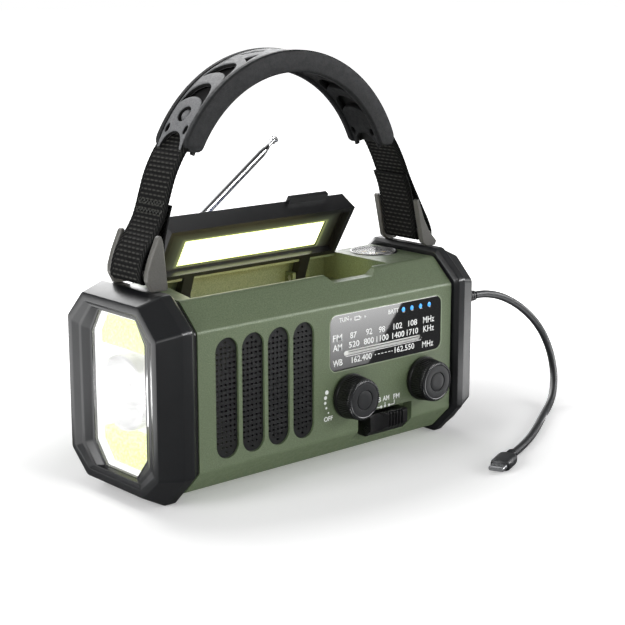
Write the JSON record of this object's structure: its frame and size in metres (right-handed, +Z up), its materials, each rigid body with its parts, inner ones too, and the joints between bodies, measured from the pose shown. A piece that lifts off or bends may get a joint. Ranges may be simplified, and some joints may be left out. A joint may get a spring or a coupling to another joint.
{
  "type": "emergency radio",
  "caption": "Portable crank and solar emergency radio with end lamp, lift-up reading-lamp lid, tuning dial, knobs, speaker grille, whip antenna, webbing handle and charging cable.",
  "frame": {"origin": "on the floor under the middle of the green case, halfway between its two end gaskets and in its middle plane", "axes": "+X along the case towards the end with the sockets (the lamp end is -X), -Y is the front with dial and knobs, +Z up"},
  "size_m": [0.3009, 0.1622, 0.212],
  "materials": {
    "green_shell": "fine matte texture",
    "black_shell": "satin",
    "gasket": "matt",
    "bracket": "satin",
    "reflector": "metallised gloss",
    "lamp_field": "phosphor under clear resin",
    "lens": "clear",
    "dial_window": "clear, glossy",
    "grille": "matt",
    "speaker_metal": "satin",
    "speaker_paper": "coated paper",
    "dial_plate": "gloss black with white print",
    "led": "clear",
    "steel": "plain",
    "pointer": "white",
    "knob": "satin",
    "component": "moulded",
    "board": "solder mask",
    "cell": "shrink sleeve",
    "compass_body": "gloss",
    "compass_card": "printed",
    "compass_glass": "clear",
    "lid": "satin",
    "reading_lamp": "diffuser",
    "solar": "cells under clear resin",
    "antenna": "polished",
    "crank": "satin",
    "gear": "moulded acetal",
    "pinion": "cut",
    "generator": "can",
    "port_metal": "plated",
    "port_body": "moulded",
    "button": "matt",
    "sos": "matt",
    "webbing": "ribbed webbing",
    "grip": "grained",
    "screw": "blackened",
    "plug": "overmould",
    "cable": "matt jacket"
  },
  "bodies": {
    "case": {"main_shell": "green_shell", "rear_cover": "green_shell", "gasket_left": "gasket", "gasket_right": "gasket", "lamp_housing": "black_shell", "lamp_reflector": "reflector", "spot_led": "lamp_field", "cob_lamps": "lamp_field", "lamp_lens": "lens", "right_cap": "black_shell", "bracket_left": "bracket", "bracket_right": "bracket", "speaker_grille": "grille", "speaker_basket": "speaker_metal", "speaker_cone": "speaker_paper", "dial_window": "dial_window", "dial_plate": "dial_plate", "battery_leds": "led", "tuning_rail": "steel", "volume_pot": "component", "tuning_capacitor": "component", "band_switch": "component", "main_board": "board", "battery_cells": "cell", "compass_cup": "compass_body", "compass_dome": "compass_glass", "lid_hinge_pins": "steel", "generator": "generator", "gear_plate": "steel", "usb_port": "port_metal", "side_ports": "port_body", "case_screws": "screw", "usb_plug": "plug", "usb_cable": "cable", "cable_connector": "plug"},
    "pointer": {"tuning_pointer": "pointer"},
    "volume": {"volume_knob": "knob"},
    "tuner": {"tuning_knob": "knob"},
    "band": {"band_slider": "knob"},
    "compass": {"compass_card": "compass_card"},
    "lid": {"lid_frame": "lid", "reading_lamp": "reading_lamp", "solar_panel": "solar"},
    "antenna_swivel": {"antenna_base": "antenna"},
    "antenna_outer": {"antenna_tube": "antenna"},
    "antenna_middle": {"antenna_mid": "antenna"},
    "antenna_inner": {"antenna_tip": "antenna"},
    "crank_wheel": {"crank_hub": "crank", "crank_gear": "gear"},
    "crank_lever": {"crank_arm": "crank"},
    "crank_grip": {"crank_knob": "crank"},
    "idler": {"idler_gear": "gear"},
    "rotor": {"generator_pinion": "pinion"},
    "lamp_switch": {"lamp_button": "button"},
    "sos_switch": {"sos_button": "sos"},
    "handle": {"strap_left": "webbing", "strap_right": "webbing", "grip": "grip"}
  },
  "joints": [
    {"name": "volume_turn", "type": "hinge", "parent": "case", "child": "volume", "pos_m": [0.0112, -0.044, 0.0378], "axis": [0, 1, 0], "range_deg": [0, 270]},
    {"name": "tuning_turn", "type": "hinge", "parent": "case", "child": "tuner", "pos_m": [0.0636, -0.044, 0.0378], "axis": [0, 1, 0], "range_deg": [0, 900]},
    {"name": "pointer_slide", "type": "slide", "parent": "case", "child": "pointer", "axis": [1, 0, 0], "range_m": [0, 0.052]},
    {"name": "band_slide", "type": "slide", "parent": "case", "child": "band", "axis": [1, 0, 0], "range_m": [-0.0045, 0.0045]},
    {"name": "compass_turn", "type": "hinge", "parent": "case", "child": "compass", "pos_m": [0.071, 0.0075, 0.0975], "axis": [0, 0, 1], "continuous": true},
    {"name": "lid_fold", "type": "hinge", "parent": "case", "child": "lid", "pos_m": [0, 0.0252, 0.0875], "axis": [1, 0, 0], "range_deg": [0, 59]},
    {"name": "antenna_turn", "type": "hinge", "parent": "case", "child": "antenna_swivel", "pos_m": [-0.079, 0.034, 0.084], "axis": [0, 0, 1], "range_deg": [0, 135]},
    {"name": "antenna_raise", "type": "hinge", "parent": "antenna_swivel", "child": "antenna_outer", "pos_m": [-0.079, 0.034, 0.088], "axis": [0, -1, 0], "range_deg": [-36, 54]},
    {"name": "antenna_draw_middle", "type": "slide", "parent": "antenna_outer", "child": "antenna_middle", "axis": [0.808, 0, 0.5892], "range_m": [0, 0.095]},
    {"name": "antenna_draw_tip", "type": "slide", "parent": "antenna_middle", "child": "antenna_inner", "axis": [0.808, 0, 0.5892], "range_m": [0, 0.095]},
    {"name": "crank_spin", "type": "hinge", "parent": "case", "child": "crank_wheel", "pos_m": [0.02, 0.031, 0.05], "axis": [0, 1, 0], "continuous": true},
    {"name": "crank_fold", "type": "hinge", "parent": "crank_wheel", "child": "crank_lever", "pos_m": [0.02, 0.0388, 0.05], "axis": [0, 0, 1], "range_deg": [0, 180]},
    {"name": "crank_grip_spin", "type": "hinge", "parent": "crank_lever", "child": "crank_grip", "pos_m": [0.068, 0.052, 0.05], "axis": [0, 1, 0], "continuous": true},
    {"name": "idler_spin", "type": "hinge", "parent": "case", "child": "idler", "pos_m": [0.03835, 0.021, 0.06285], "axis": [0, 1, 0], "continuous": true},
    {"name": "rotor_spin", "type": "hinge", "parent": "case", "child": "rotor", "pos_m": [0.04955, 0.01, 0.04345], "axis": [0, 1, 0], "continuous": true},
    {"name": "lamp_press", "type": "slide", "parent": "case", "child": "lamp_switch", "axis": [-1, 0, 0], "range_m": [0, 0.0009], "stiffness_N_per_m": 300, "springref_m": -0.0008},
    {"name": "sos_press", "type": "slide", "parent": "case", "child": "sos_switch", "axis": [-1, 0, 0], "range_m": [0, 0.0009], "stiffness_N_per_m": 300, "springref_m": -0.0008},
    {"name": "handle_swing", "type": "hinge", "parent": "case", "child": "handle", "pos_m": [0, 0, 0.106], "axis": [1, 0, 0], "range_deg": [-85, 85], "deforming": ["strap_left", "strap_right"]}
  ],
  "couplings": [
    {"joint": "pointer_slide", "follows": "tuning_turn", "m_per_rad": 0.0033},
    {"joint": "idler_spin", "follows": "crank_spin", "ratio": -3},
    {"joint": "rotor_spin", "follows": "crank_spin", "ratio": 9}
  ]
}
